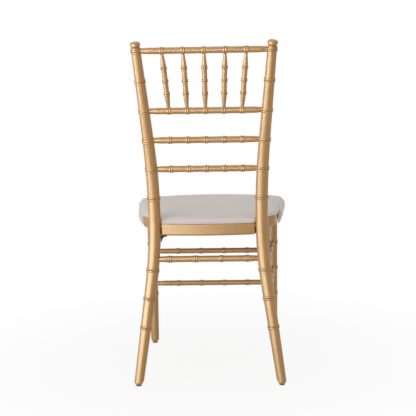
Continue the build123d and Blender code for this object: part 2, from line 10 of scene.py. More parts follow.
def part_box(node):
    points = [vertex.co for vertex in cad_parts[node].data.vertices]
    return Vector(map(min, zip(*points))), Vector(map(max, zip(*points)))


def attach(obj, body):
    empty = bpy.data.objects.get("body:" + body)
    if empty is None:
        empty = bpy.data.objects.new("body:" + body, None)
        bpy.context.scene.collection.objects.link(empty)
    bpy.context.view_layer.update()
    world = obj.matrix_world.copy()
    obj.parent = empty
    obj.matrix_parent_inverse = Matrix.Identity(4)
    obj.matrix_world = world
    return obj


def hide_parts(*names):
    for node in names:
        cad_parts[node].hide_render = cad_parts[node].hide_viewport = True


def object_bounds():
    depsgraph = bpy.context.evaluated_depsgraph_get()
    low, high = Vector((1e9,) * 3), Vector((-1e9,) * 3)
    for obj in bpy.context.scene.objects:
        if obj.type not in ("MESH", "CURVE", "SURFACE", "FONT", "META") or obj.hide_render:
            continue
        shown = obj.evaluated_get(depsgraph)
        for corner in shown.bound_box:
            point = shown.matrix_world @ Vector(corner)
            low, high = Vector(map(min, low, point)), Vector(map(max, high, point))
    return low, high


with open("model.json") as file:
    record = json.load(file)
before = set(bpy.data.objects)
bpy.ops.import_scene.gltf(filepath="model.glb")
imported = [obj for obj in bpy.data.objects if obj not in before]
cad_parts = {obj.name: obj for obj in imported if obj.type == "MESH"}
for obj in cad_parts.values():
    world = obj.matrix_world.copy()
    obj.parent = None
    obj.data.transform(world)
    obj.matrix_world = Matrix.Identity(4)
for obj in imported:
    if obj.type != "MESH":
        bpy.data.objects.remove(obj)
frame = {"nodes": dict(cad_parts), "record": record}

bl_info = {
    "name": "Turned Dining Chair",
    "version": (1, 0, 0),
    "blender": (4, 5, 0),
    "location": "View3D > Sidebar > Chair",
    "description": "Paints the turned frame, sews the seat pad and sets up the studio",
    "category": "Object",
}

BODY = "root"
CAD_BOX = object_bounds()
SLOT_OF = {row["node"]: row["material_slot"] for row in frame["record"]["subparts"]}
SEAT_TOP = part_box("seat_board")[1].z
PAD_LOW, PAD_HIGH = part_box("seat_pad")

# Lengths that a user would leave alone, in metres
TOUCH = 1e-5
SHORT_EDGE = 0.0006
REST_GAP = 0.0004
POST_GAP = 0.0006
POST_PULL = 0.010
POST_BAND = 0.03
DENT_DEPTH = 0.0010
SKIRT_FULLNESS = 0.0015
SKIRT_TOP_TUCK = 0.004
HEM_SAG = 0.0025
HEM_ROUND = 0.002
HEM_BACK_ROUND = 0.003
END_ROUND = 0.0025
END_REACH = 0.010
HEM_LOW = PAD_LOW.z - HEM_SAG

# Y at which the filled pad begins to be wider than its pattern, and at which it is widest
PUFF_FROM, PUFF_FULL = 0.03, -0.07

# Counts and shares
FILL_FRAMES = 20
SMOOTH_TURNS = 3
DENTS_PER_METRE = (7, 26)
WAVES_PER_METRE = 21
SKIRT_ROWS = (0.0, 0.08, 0.18, 0.32, 0.48, 0.64, 0.78, 0.88, 0.95, 1.0)
STITCH_PITCH = 1.3
THREAD_SIDES = 6

# Colours of wear, and of dust and painted shade where surfaces are shut in
# Dust and painted shade on the bare wood where it is shut in
WOOD_DUST_AND_SHADE = (0.12, 0.07, 0.035, 1)
WORN_BLACK = (0.035, 0.032, 0.03, 1)
DULL_ZINC = (0.33, 0.30, 0.24, 1)
SCUFFED_NYLON = (0.11, 0.065, 0.036, 1)
# Painted shade in the cloth's folds and where it is shut in
FOLD_SHADE = (0.36, 0.32, 0.29, 1)

CHAIR_MIDDLE = (0, 0, 0.5)


# Settings

class PaintSettings(bpy.types.PropertyGroup):
    """Gold paint on the turned wood."""

    gold: bpy.props.FloatVectorProperty(
        name="Gold", description="Colour of the metallic paint",
        subtype="COLOR", size=4, min=0, max=1, default=(0.445, 0.209, 0.047, 1))
    deep_gold: bpy.props.FloatVectorProperty(
        name="Deep Gold", description="Colour where the paint lies thicker, along the grain",
        subtype="COLOR", size=4, min=0, max=1, default=(0.38, 0.168, 0.034, 1))
    # The umber is the colour of dust and of painted shade in the grooves and joints.
    umber: bpy.props.FloatVectorProperty(
        name="Umber", description="Colour of the dust in the grooves and joints",
        subtype="COLOR", size=4, min=0, max=1, default=(0.075, 0.024, 0.006, 1))
    metallic: bpy.props.FloatProperty(
        name="Metallic", description="Share of metal pigment in the paint",
        subtype="FACTOR", min=0, max=1, default=0.05)
    roughness: bpy.props.FloatProperty(
        name="Roughness", description="Satin gloss of the paint",
        subtype="FACTOR", min=0, max=1, default=0.43)
    lacquer: bpy.props.FloatProperty(
        name="Lacquer", description="Weight of the clear coat over the paint",
        subtype="FACTOR", min=0, max=1, default=0.10)
    sheen: bpy.props.FloatProperty(
        name="Sheen", description="Strength of the pale reflection of the metal pigment",
        subtype="FACTOR", min=0, max=1, default=0.8)
    sheen_tint: bpy.props.FloatVectorProperty(
        name="Sheen Tint", description="Colour of the pale reflection of the metal pigment",
        subtype="COLOR", size=4, min=0, max=1, default=(0.78, 1.0, 0.86, 1))
    # The groove reach sets how far the dust and painted shade reach out of a groove or joint.
    groove_reach: bpy.props.FloatProperty(
        name="Groove Reach", description="How far out of a groove or joint the dust reaches",
        unit="LENGTH", min=0.0005, max=0.05, default=0.007)
    grain_length: bpy.props.FloatProperty(
        name="Grain Length", description="Length of one streak along the grain",
        unit="LENGTH", min=0.005, max=0.5, default=0.06)
    grain_width: bpy.props.FloatProperty(
        name="Grain Width", description="Width of one streak across the grain",
        unit="LENGTH", min=0.0002, max=0.01, default=0.0016)
    grain_depth: bpy.props.FloatProperty(
        name="Grain Depth", description="Depth of the grain that shows through the paint",
        unit="LENGTH", min=0, max=0.001, default=0.00003)


class PadSettings(bpy.types.PropertyGroup):
    """Seat pad: foam cushion and its sewn cover."""

    cover: bpy.props.FloatVectorProperty(
        name="Cover", description="Colour of the woven cover",
        subtype="COLOR", size=4, min=0, max=1, default=(0.87, 0.80, 0.76, 1))
    shade: bpy.props.FloatVectorProperty(
        name="Shade", description="Colour between the threads and in the folds",
        subtype="COLOR", size=4, min=0, max=1, default=(0.70, 0.635, 0.60, 1))
    thread: bpy.props.FloatProperty(
        name="Thread", description="Width of one thread of the weave",
        unit="LENGTH", min=0.0001, max=0.005, default=0.0007)
    voxel: bpy.props.FloatProperty(
        name="Mesh Step", description="Size of one cell of the cushion before it is filled",
        unit="LENGTH", min=0.002, max=0.02, default=0.004)
    slack: bpy.props.FloatProperty(
        name="Slack", description="How much smaller the empty cover is than the filled cushion",
        unit="LENGTH", min=0, max=0.01, default=0.0015)
    swell: bpy.props.FloatProperty(
        name="Swell", description="Most that a point moves when the cushion fills",
        unit="LENGTH", min=0, max=0.03, default=0.004)
    pressure: bpy.props.FloatProperty(
        name="Pressure", description="Pressure of the foam against the cover",
        min=0, max=20, default=4.0)
    fill: bpy.props.FloatProperty(
        name="Fill", description="How tight the cushion is filled",
        subtype="FACTOR", min=0, max=1, default=0.7)
    puff: bpy.props.FloatProperty(
        name="Puff", description="How much wider the filled pad is than its flat pattern",
        subtype="FACTOR", min=0, max=0.04, default=0.025)
    wall: bpy.props.FloatProperty(
        name="Wall", description="How far the padded skirt reaches in from the pattern's outline",
        unit="LENGTH", min=0.002, max=0.0088, default=0.0084)
    draw_in: bpy.props.FloatProperty(
        name="Draw In", description="How far the skirt's lower edge is drawn in towards the seat frame",
        unit="LENGTH", min=0, max=0.012, default=0.008)
    tuck: bpy.props.FloatProperty(
        name="Tuck", description="How far the skirt's upper edge reaches up inside the cushion",
        unit="LENGTH", min=0, max=0.01, default=0.004)
    hem: bpy.props.FloatProperty(
        name="Hem", description="Height of the hem along the skirt's lower edge",
        unit="LENGTH", min=0, max=0.03, default=0.010)
    wave: bpy.props.FloatProperty(
        name="Wave", description="How far the skirt's face waves in and out",
        unit="LENGTH", min=0, max=0.01, default=0.0007)
    thread_width: bpy.props.FloatProperty(
        name="Thread Width", description="Width of the hem's sewing thread",
        unit="LENGTH", min=0.0001, max=0.002, default=0.0006)
    stitch: bpy.props.FloatProperty(
        name="Stitch", description="Length of one hem stitch",
        unit="LENGTH", min=0.001, max=0.01, default=0.0032)


class FittingSettings(bpy.types.PropertyGroup):
    """Hidden wood, steel and plastic fittings."""

    ply: bpy.props.FloatVectorProperty(
        name="Plywood", description="Pale wood of the seat board and corner blocks",
        subtype="COLOR", size=4, min=0, max=1, default=(0.56, 0.39, 0.22, 1))
    ply_grain: bpy.props.FloatVectorProperty(
        name="Plywood Grain", description="Darker growth lines of the plywood",
        subtype="COLOR", size=4, min=0, max=1, default=(0.36, 0.22, 0.11, 1))
    black: bpy.props.FloatVectorProperty(
        name="Brace Black", description="Paint of the steel corner brace",
        subtype="COLOR", size=4, min=0, max=1, default=(0.012, 0.012, 0.013, 1))
    steel: bpy.props.FloatVectorProperty(
        name="Screw Steel", description="Zinc plated screws",
        subtype="COLOR", size=4, min=0, max=1, default=(0.58, 0.56, 0.52, 1))
    nylon: bpy.props.FloatVectorProperty(
        name="Glide Nylon", description="Dark nylon of the foot glides",
        subtype="COLOR", size=4, min=0, max=1, default=(0.055, 0.028, 0.014, 1))


class StageSettings(bpy.types.PropertyGroup):
    """Camera, lamps and floor."""

    camera_at: bpy.props.FloatVectorProperty(
        name="Camera", description="Place of the camera, behind the chair",
        subtype="TRANSLATION", unit="LENGTH", size=3, default=(-0.106, 3.3001, 1.016))
    yaw: bpy.props.FloatProperty(
        name="Yaw", description="Turn of the camera to its left",
        subtype="ANGLE", default=math.radians(1.92))
    pitch: bpy.props.FloatProperty(
        name="Pitch", description="Tilt of the camera below the level",
        subtype="ANGLE", default=math.radians(9.84))
    roll: bpy.props.FloatProperty(
        name="Roll", description="Lean of the camera about its line of sight",
        subtype="ANGLE", default=math.radians(1.06))
    lens: bpy.props.FloatProperty(
        name="Lens", description="Focal length on a sensor 36 mm wide, in millimetres",
        min=20, max=400, default=104.5)
    key_power: bpy.props.FloatProperty(
        name="Key", description="Power of the tall soft box on the left of the picture",
        unit="POWER", min=0, default=42)
    top_power: bpy.props.FloatProperty(
        name="Top", description="Power of the wide soft box above the chair",
        unit="POWER", min=0, default=13)
    fill_power: bpy.props.FloatProperty(
        name="Fill", description="Power of the weak soft box on the right of the picture",
        unit="POWER", min=0, default=8)
    card_power: bpy.props.FloatProperty(
        name="Reflection Card",
        description="Power of the card on the left that shows only in the paint's gloss",
        unit="POWER", min=0, default=190)
    ambient: bpy.props.FloatProperty(
        name="Ambient", description="Level of the even light of the room",
        min=0, max=1, default=0.34)
    floor: bpy.props.FloatVectorProperty(
        name="Floor", description="Colour of the studio floor",
        subtype="COLOR", size=4, min=0, max=1, default=(0.86, 0.86, 0.86, 1))
    shadow: bpy.props.FloatProperty(
        name="Shadow", description="How much of the chair's shadow the floor shows",
        subtype="FACTOR", min=0, max=1, default=0.10)
    shadow_reach: bpy.props.FloatProperty(
        name="Shadow Reach", description="Distance from the chair at which the shadow has faded",
        unit="LENGTH", min=0.1, max=10, default=1.0)


# Node trees

class Sheet:
    """Adds and joins the nodes of one tree."""

    def __init__(self, tree):
        self.tree = tree

    def add(self, kind, sockets=None, **settings):
        node = self.tree.nodes.new("ShaderNode" + kind)
        for name, value in settings.items():
            setattr(node, name, value)
        for name, value in (sockets or {}).items():
            self.feed(node.inputs[name], value)
        return node

    def feed(self, socket, value):
        if isinstance(value, bpy.types.NodeSocket):
            self.tree.links.new(value, socket)
        else:
            socket.default_value = value

    def math(self, operation, first, second=0.0, third=0.0, clamp=False):
        sockets = {0: first, 1: second, 2: third}
        return self.add("Math", sockets, operation=operation, use_clamp=clamp).outputs[0]

    def vector(self, operation, first, second):
        return self.add("VectorMath", {0: first, 1: second}, operation=operation).outputs[0]

    def ramp(self, value, low, high, to_low=0.0, to_high=1.0):
        sockets = {"Value": value, "From Min": low, "From Max": high, "To Min": to_low, "To Max": to_high}
        return self.add("MapRange", sockets, interpolation_type="SMOOTHSTEP").outputs[0]

    def noise(self, vector, scale, detail=2.0, roughness=0.5):
        sockets = {"Vector": vector, "Scale": scale, "Detail": detail, "Roughness": roughness}
        return self.add("TexNoise", sockets).outputs[0]

    def mix(self, factor, first, second):
        return self.add("Mix", {0: factor, 6: first, 7: second}, data_type="RGBA").outputs[2]

    def group(self, tree, sockets):
        node = self.add("Group", node_tree=tree)
        for name, value in sockets.items():
            self.feed(node.inputs[name], value)
        return node.outputs


def new_group(name, inputs, outputs):
    """Empty node group with named sockets: its sheet, what it is given and what it gives."""
    tree = bpy.data.node_groups.new(name, "ShaderNodeTree")
    for label, kind, default in inputs:
        socket = tree.interface.new_socket(label, in_out="INPUT", socket_type="NodeSocket" + kind)
        socket.default_value = default
    for label, kind in outputs:
        tree.interface.new_socket(label, in_out="OUTPUT", socket_type="NodeSocket" + kind)
    into = tree.nodes.new("NodeGroupInput")
    out = tree.nodes.new("NodeGroupOutput")
    return Sheet(tree), into.outputs, out.inputs


def grain_group():
    """Long streaks of grain that show through paint or on bare wood."""
    sheet, given, gives = new_group(
        "Wood Grain",
        [("Vector", "Vector", (0, 0, 0)), ("Streaks", "Vector", (1, 1, 1))],
        [("Streak", "Float"), ("Height", "Float")],
    )
    stretched = sheet.vector("MULTIPLY", given["Vector"], given["Streaks"])
    broad = sheet.noise(stretched, 0.35, 2.0)
    fine = sheet.noise(stretched, 1.0, 3.0, 0.6)
    streak = sheet.math("MULTIPLY_ADD", broad, 0.45, sheet.math("MULTIPLY", fine, 0.55))
    sheet.feed(gives["Streak"], sheet.ramp(streak, 0.34, 0.66))
    sheet.feed(gives["Height"], fine)
    return sheet.tree


def mottle_group():
    """Uneven coat: slow clouds over the piece and a fine metallic flake."""
    sheet, given, gives = new_group(
        "Uneven Coat",
        [("Vector", "Vector", (0, 0, 0)), ("Cloud Scale", "Float", 14.0), ("Flake Scale", "Float", 1500.0)],
        [("Cloud", "Float"), ("Flake", "Float")],
    )
    cloud = sheet.noise(given["Vector"], given["Cloud Scale"], 3.0)
    flake = sheet.noise(given["Vector"], given["Flake Scale"], 1.0)
    sheet.feed(gives["Cloud"], sheet.ramp(cloud, 0.3, 0.7))
    sheet.feed(gives["Flake"], sheet.ramp(flake, 0.25, 0.75))
    return sheet.tree


def dust_and_shade_group():
    """Dust and painted shade where a surface is shut in, broken up a little."""
    sheet, given, gives = new_group(
        "Groove Dust And Shade",
        [("Vector", "Vector", (0, 0, 0)), ("Open", "Float", 1.0), ("Amount", "Float", 1.0)],
        [("Mask", "Float")],
    )
    shut = sheet.ramp(given["Open"], 0.82, 0.25)
    patches = sheet.ramp(sheet.noise(given["Vector"], 160.0, 2.0), 0.2, 0.7, 0.55, 1.0)
    mask = sheet.math("MULTIPLY", sheet.math("MULTIPLY", shut, patches), given["Amount"], clamp=True)
    sheet.feed(gives["Mask"], mask)
    return sheet.tree


def weave_group():
    """Plain weave that follows the nearest flat direction of the cloth."""
    sheet, given, gives = new_group(
        "Plain Weave",
        [("Vector", "Vector", (0, 0, 0)), ("Thread", "Float", 0.0007)],
        [("Height", "Float"), ("Slub", "Float")],
    )
    place = sheet.add("SeparateXYZ", {0: given["Vector"]}).outputs
    facing = sheet.add("SeparateXYZ", {0: sheet.add("NewGeometry").outputs["Normal"]}).outputs
    turns = [sheet.math("DIVIDE", sheet.math("MULTIPLY", axis, math.pi), given["Thread"]) for axis in place]
    waves = [sheet.math("SINE", turn) for turn in turns]
    up = sheet.math("GREATER_THAN", sheet.math("ABSOLUTE", facing[2]), 0.7)
    side = sheet.math("GREATER_THAN", sheet.math("ABSOLUTE", facing[0]), sheet.math("ABSOLUTE", facing[1]))
    first = sheet.mix(side, waves[0], waves[1])
    second = sheet.mix(up, waves[2], waves[1])
    first = sheet.mix(up, first, waves[0])
    over = sheet.math("GREATER_THAN", sheet.math("MULTIPLY", first, second), 0.0)
    height = sheet.mix(over, sheet.math("ABSOLUTE", first), sheet.math("ABSOLUTE", second))
    sheet.feed(gives["Height"], height)
    slub = sheet.noise(sheet.vector("MULTIPLY", given["Vector"], (60.0, 900.0, 900.0)), 1.0, 2.0)
    sheet.feed(gives["Slub"], slub)
    return sheet.tree


class Effects:
    """Shared node groups, built once."""

    trees = {}

    @classmethod
    def get(cls, make):
        if make not in cls.trees:
            cls.trees[make] = make()
        return cls.trees[make]


def new_material(name):
    """Material with a Principled shader and its own node sheet."""
    material = bpy.data.materials.new(name)
    material.use_nodes = True
    shader = material.node_tree.nodes["Principled BSDF"]
    sheet = Sheet(material.node_tree)
    place = sheet.add("TexCoord").outputs["Object"]
    return material, shader, sheet, place


def set_shader(sheet, shader, **values):
    """Feed the shader's sockets, named with underscores for spaces."""
    for name, value in values.items():
        sheet.feed(shader.inputs[name.replace("_", " ")], value)


def bump(sheet, height, depth):
    """Normal from a height, with the full depth given in metres."""
    return sheet.add("Bump", {"Height": height, "Distance": depth, "Strength": 1.0}).outputs[0]


def uneven_coat(sheet, place, clouds=14.0, flakes=1500.0):
    """Masks of an uneven coat, with the clouds and the flakes per metre."""
    sockets = {"Vector": place, "Cloud Scale": clouds, "Flake Scale": flakes}
    return sheet.group(Effects.get(mottle_group), sockets)


def dust_and_shade_mask(sheet, place, reach, amount):
    """Mask of the dust and painted shade in grooves and joints, from how open the surface is."""
    openness = sheet.add("AmbientOcclusion", {"Distance": reach}, samples=8).outputs["AO"]
    return sheet.group(Effects.get(dust_and_shade_group), {"Vector": place, "Open": openness, "Amount": amount})["Mask"]


def streaks_along(axis, length, width):
    """Streaks per metre in X, Y and Z for grain that runs along one axis."""
    return tuple(1 / length if index == axis else 1 / width for index in range(3))


# Finishes

def gold_paint(paint, axis):
    """Satin gold paint over turned wood whose grain runs along one axis."""
    material, shader, sheet, place = new_material("gold_paint_along_" + "xyz"[axis])
    streaks = streaks_along(axis, paint.grain_length, paint.grain_width)
    grain = sheet.group(Effects.get(grain_group), {"Vector": place, "Streaks": streaks})
    coat = uneven_coat(sheet, place)
    # Dust and painted shade: ambient occlusion darkens the gold towards umber in the ring grooves and at the
    # joints.
    dust_and_shade = dust_and_shade_mask(sheet, place, paint.groove_reach, 0.85)
    thick = sheet.math("MULTIPLY_ADD", grain["Streak"], 0.55, sheet.math("MULTIPLY", coat["Cloud"], 0.35))
    colour = sheet.mix(thick, tuple(paint.gold), tuple(paint.deep_gold))
    colour = sheet.mix(dust_and_shade, colour, tuple(paint.umber))
    gloss = sheet.ramp(coat["Flake"], 0.0, 1.0, paint.roughness - 0.05, paint.roughness + 0.05)
    gloss = sheet.math("ADD", gloss, sheet.math("MULTIPLY", dust_and_shade, 0.35))
    pigment = sheet.ramp(dust_and_shade, 0.0, 1.0, paint.metallic, 0.95)
    relief = sheet.math("ADD", grain["Height"], sheet.math("MULTIPLY", coat["Flake"], 0.15))
    set_shader(
        sheet, shader, Base_Color=colour, Roughness=gloss, Metallic=pigment,
        Specular_IOR_Level=paint.sheen, Specular_Tint=tuple(paint.sheen_tint),
        Coat_Weight=paint.lacquer, Coat_Roughness=0.22, Normal=bump(sheet, relief, paint.grain_depth),
    )
    return material


def inner_wood(fitting, axis):
    """Bare plywood and hardwood under the seat."""
    material, shader, sheet, place = new_material("bare_wood_along_" + "xyz"[axis])
    streaks = streaks_along(axis, 0.09, 0.0035)
    grain = sheet.group(Effects.get(grain_group), {"Vector": place, "Streaks": streaks})
    coat = uneven_coat(sheet, place, 9.0)
    # Dust and painted shade where the bare wood is shut in, from ambient occlusion
    dust_and_shade = dust_and_shade_mask(sheet, place, 0.012, 0.6)
    colour = sheet.mix(grain["Streak"], tuple(fitting.ply), tuple(fitting.ply_grain))
    colour = sheet.mix(sheet.math("MULTIPLY", coat["Cloud"], 0.35), colour, tuple(fitting.ply_grain))
    colour = sheet.mix(dust_and_shade, colour, WOOD_DUST_AND_SHADE)
    gloss = sheet.ramp(grain["Height"], 0.2, 0.8, 0.55, 0.75)
    set_shader(
        sheet, shader, Base_Color=colour, Roughness=gloss, Normal=bump(sheet, grain["Height"], 0.0002),
    )
    return material


def brace_paint(fitting):
    """Black paint on pressed steel, a little worn."""
    material, shader, sheet, place = new_material("black_painted_steel")
    coat = uneven_coat(sheet, place, 60.0, 900.0)
    worn = sheet.math("MULTIPLY", coat["Cloud"], 0.25)
    colour = sheet.mix(worn, tuple(fitting.black), WORN_BLACK)
    gloss = sheet.ramp(coat["Flake"], 0.0, 1.0, 0.34, 0.52)
    set_shader(
        sheet, shader, Base_Color=colour, Roughness=gloss, Specular_IOR_Level=0.12,
        Normal=bump(sheet, coat["Flake"], 0.00006),
    )
    return material


def screw_plate(fitting):
    """Zinc plating, dull in patches."""
    material, shader, sheet, place = new_material("zinc_plated_steel")
    coat = uneven_coat(sheet, place, 150.0, 2500.0)
    dull = sheet.math("MULTIPLY", coat["Cloud"], 0.5)
    colour = sheet.mix(dull, tuple(fitting.steel), DULL_ZINC)
    gloss = sheet.ramp(coat["Flake"], 0.0, 1.0, 0.24, 0.42)
    set_shader(sheet, shader, Base_Color=colour, Roughness=gloss, Metallic=1.0)
    return material


def glide_nylon(fitting):
    """Moulded nylon, scuffed by the floor."""
    material, shader, sheet, place = new_material("glide_nylon")
    coat = uneven_coat(sheet, place, 220.0, 1800.0)
    scuffed = sheet.math("MULTIPLY", coat["Cloud"], 0.5)
    colour = sheet.mix(scuffed, tuple(fitting.nylon), SCUFFED_NYLON)
    gloss = sheet.ramp(coat["Flake"], 0.0, 1.0, 0.38, 0.6)
    set_shader(sheet, shader, Base_Color=colour, Roughness=gloss, Normal=bump(sheet, coat["Flake"], 0.00008))
    return material


def pad_cloth(pad, name, fold_shade):
    """Off-white woven cover of the seat pad."""
    material, shader, sheet, place = new_material(name)
    weave = sheet.group(Effects.get(weave_group), {"Vector": place, "Thread": pad.thread})
    coat = uneven_coat(sheet, place, 7.0, 420.0)
    # Painted shade in the folds and where the cloth is shut in, from ambient occlusion
    dust_and_shade = dust_and_shade_mask(sheet, place, 0.010, fold_shade)
    between = sheet.ramp(weave["Height"], 0.75, 0.0, 0.0, 0.35)
    tone = sheet.math("ADD", between, sheet.math("MULTIPLY", coat["Cloud"], 0.14))
    tone = sheet.math("ADD", tone, sheet.math("MULTIPLY", weave["Slub"], 0.12))
    colour = sheet.mix(tone, tuple(pad.cover), tuple(pad.shade))
    colour = sheet.mix(dust_and_shade, colour, FOLD_SHADE)
    gloss = sheet.ramp(weave["Height"], 0.0, 1.0, 0.88, 0.72)
    relief = sheet.math("ADD", weave["Height"], sheet.math("MULTIPLY", coat["Flake"], 0.5))
    set_shader(
        sheet, shader, Base_Color=colour, Roughness=gloss, Sheen_Weight=0.15, Sheen_Roughness=0.4,
        Specular_IOR_Level=0.25, Normal=bump(sheet, relief, 0.00012),
    )
    return material


def sewing_thread(pad):
    """Sewing thread of the hem."""
    material, shader, sheet, place = new_material("hem_thread")
    coat = uneven_coat(sheet, place, 90.0, 3000.0)
    tone = sheet.math("MULTIPLY", coat["Flake"], 0.6)
    colour = sheet.mix(tone, tuple(pad.cover), tuple(pad.shade))
    gloss = sheet.ramp(coat["Cloud"], 0.0, 1.0, 0.5, 0.7)
    set_shader(sheet, shader, Base_Color=colour, Roughness=gloss, Normal=bump(sheet, coat["Flake"], 0.00008))
    return material


def nodes_in(slot):
    """CAD nodes that the record gives one material slot."""
    return [name for name, used in SLOT_OF.items() if used == slot]


def long_axis(node):
    """Index of the axis along which a node is longest, which is its grain's."""
    low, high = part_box(node)
    sizes = list(high - low)
    return sizes.index(max(sizes))


def finish_nodes(names, material_for):
    """Give each CAD node the material made for it."""
    if not names:
        raise RuntimeError("the frame has no node for this finish")
    for name in names:
        frame["nodes"][name].material_slots[0].material = material_for(name)


class ByAxis:
    """One material for each direction of grain, made when first asked for."""

    def __init__(self, make, settings):
        self.make = make
        self.settings = settings
        self.made = {}

    def __call__(self, node):
        axis = long_axis(node)
        if axis not in self.made:
            self.made[axis] = self.make(self.settings, axis)
        return self.made[axis]


class CHAIR_OT_paint_turned_frame(bpy.types.Operator):
    """Paint the posts, legs, rails, spindles and seat frame gold"""

    bl_idname = "chair.paint_turned_frame"
    bl_label = "Paint Turned Frame"

    def execute(self, context):
        finish_nodes(nodes_in("gold_wood"), ByAxis(gold_paint, context.scene.chair_paint))
        return {"FINISHED"}


class CHAIR_OT_finish_inner_wood(bpy.types.Operator):
    """Give the seat board and the corner blocks their bare wood"""

    bl_idname = "chair.finish_inner_wood"
    bl_label = "Finish Inner Wood"

    def execute(self, context):
        finish_nodes(nodes_in("bare_wood"), ByAxis(inner_wood, context.scene.chair_fitting))
        return {"FINISHED"}


class CHAIR_OT_finish_fittings(bpy.types.Operator):
    """Finish the steel brace, the screws and the foot glides"""

    bl_idname = "chair.finish_fittings"
    bl_label = "Finish Fittings"

    def execute(self, context):
        fitting = context.scene.chair_fitting
        finishes = {"black_steel": brace_paint, "screw_steel": screw_plate, "glide_nylon": glide_nylon}
        for slot, make in finishes.items():
            material = make(fitting)
            finish_nodes(nodes_in(slot), lambda node, chosen=material: chosen)
        return {"FINISHED"}


# Seat pad

def add_object(name, data):
    """New object in the scene."""
    added = bpy.data.objects.new(name, data)
    bpy.context.scene.collection.objects.link(added)
    return added


def new_piece(name, mesh, material):
    """Object of the chair that rides on its body."""
    piece = add_object(name, mesh)
    mesh.materials.clear()
    mesh.materials.append(material)
    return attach(piece, BODY)


def cushion_blank(step, slack, below):
    """Empty cover of the cushion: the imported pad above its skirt, evenly meshed and a little small.

    Its walls are carried on below the seat, so that the filling rounds them there, out of sight.
    """
    mesh = frame["nodes"]["seat_pad"].data.copy()
    made = bmesh.new()
    made.from_mesh(mesh)
    bmesh.ops.remove_doubles(made, verts=made.verts, dist=TOUCH)
    everything = made.verts[:] + made.edges[:] + made.faces[:]
    cut = SEAT_TOP + slack
    bmesh.ops.bisect_plane(made, geom=everything, plane_co=(0, 0, cut), plane_no=(0, 0, 1), clear_inner=True)
    rim = [edge for edge in made.edges if edge.is_boundary]
    lowered = bmesh.ops.extrude_edge_only(made, edges=rim)["geom"]
    for vertex in lowered:
        if isinstance(vertex, bmesh.types.BMVert):
            vertex.co.z -= below
    bmesh.ops.holes_fill(made, edges=[edge for edge in made.edges if edge.is_boundary])
    bmesh.ops.recalc_face_normals(made, faces=made.faces)
    made.to_mesh(mesh)
    made.free()
    blank = add_object("cushion_blank", mesh)
    remesh = blank.modifiers.new("Even Mesh", "REMESH")
    remesh.mode = "VOXEL"
    remesh.voxel_size = step
    even = evaluated_mesh(blank)
    bpy.data.objects.remove(blank)
    normals = [vertex.normal.copy() for vertex in even.vertices]
    for vertex, normal in zip(even.vertices, normals):
        vertex.co -= normal * slack
    return even


def evaluated_mesh(piece):
    """Mesh of a piece with its modifiers applied."""
    graph = bpy.context.evaluated_depsgraph_get()
    return bpy.data.meshes.new_from_object(piece.evaluated_get(graph))


def fill_cushion(mesh, pad):
    """Let the foam press the cover out, with a limit on how far any point moves."""
    scene = bpy.context.scene
    bag = add_object("cushion_bag", mesh)
    start = [vertex.co.copy() for vertex in mesh.vertices]
    cloth = bag.modifiers.new("Fill", "CLOTH")
    cloth.settings.quality = 6
    cloth.settings.mass = 0.3
    cloth.settings.tension_stiffness = 20
    cloth.settings.compression_stiffness = 20
    cloth.settings.shear_stiffness = 8
    cloth.settings.bending_stiffness = 2
    cloth.settings.use_pressure = True
    cloth.settings.uniform_pressure_force = pad.pressure
    cloth.settings.effector_weights.gravity = 0
    cloth.collision_settings.use_collision = False
    cloth.point_cache.frame_start = 1
    cloth.point_cache.frame_end = FILL_FRAMES
    for number in range(1, FILL_FRAMES + 1):
        scene.frame_set(number)
    filled = evaluated_mesh(bag)
    bpy.data.objects.remove(bag)
    scene.frame_set(1)
    for vertex, before in zip(filled.vertices, start):
        moved = vertex.co - before
        if moved.length > pad.swell:
            vertex.co = before + moved.normalized() * pad.swell
    return filled


def evened(mesh, turns):
    """The same mesh with its small steps smoothed out."""
    piece = add_object("cushion_uneven", mesh)
    smooth = piece.modifiers.new("Even Out", "SMOOTH")
    smooth.factor = 0.5
    smooth.iterations = turns
    even = evaluated_mesh(piece)
    bpy.data.objects.remove(piece)
    return even


def settle(mesh):
    """Press the cushion flat where it rests on the seat, with a crisp lower edge."""
    floor = SEAT_TOP + REST_GAP
    made = bmesh.new()
    made.from_mesh(mesh)
    for vertex in made.verts:
        vertex.co.y = min(PAD_HIGH.y, vertex.co.y)
        vertex.co.z = max(floor, vertex.co.z)
    bmesh.ops.dissolve_degenerate(made, dist=SHORT_EDGE, edges=made.edges)
    crease = made.edges.layers.float.new("crease_edge")
    for edge in made.edges:
        on_seat = all(vertex.co.z < floor + TOUCH for vertex in edge.verts)
        beside = [vertex for face in edge.link_faces for vertex in face.verts]
        if on_seat and any(vertex.co.z > floor + TOUCH for vertex in beside):
            edge[crease] = 1.0
    made.to_mesh(mesh)
    made.free()


def ease(low, high, value):
    """Smooth step from 0 at one value to 1 at another."""
    share = min(1.0, max(0.0, (value - low) / (high - low)))
    return share * share * (3 - 2 * share)


def puffed(point, puff):
    """The same point on the filled pad, which is wider in front of the posts."""
    share = ease(PUFF_FROM, PUFF_FULL, point.y)
    return Vector((point.x * (1 + puff * share), point.y, point.z))


def post_at_seat(name):
    """Middle and radius of a back post where it passes the seat."""
    near = [v.co for v in frame["nodes"][name].data.vertices if abs(v.co.z - SEAT_TOP) < POST_BAND]
    low = Vector((min(co.x for co in near), min(co.y for co in near), 0))
    high = Vector((max(co.x for co in near), max(co.y for co in near), 0))
    return (low + high) / 2, max(high - low) / 2


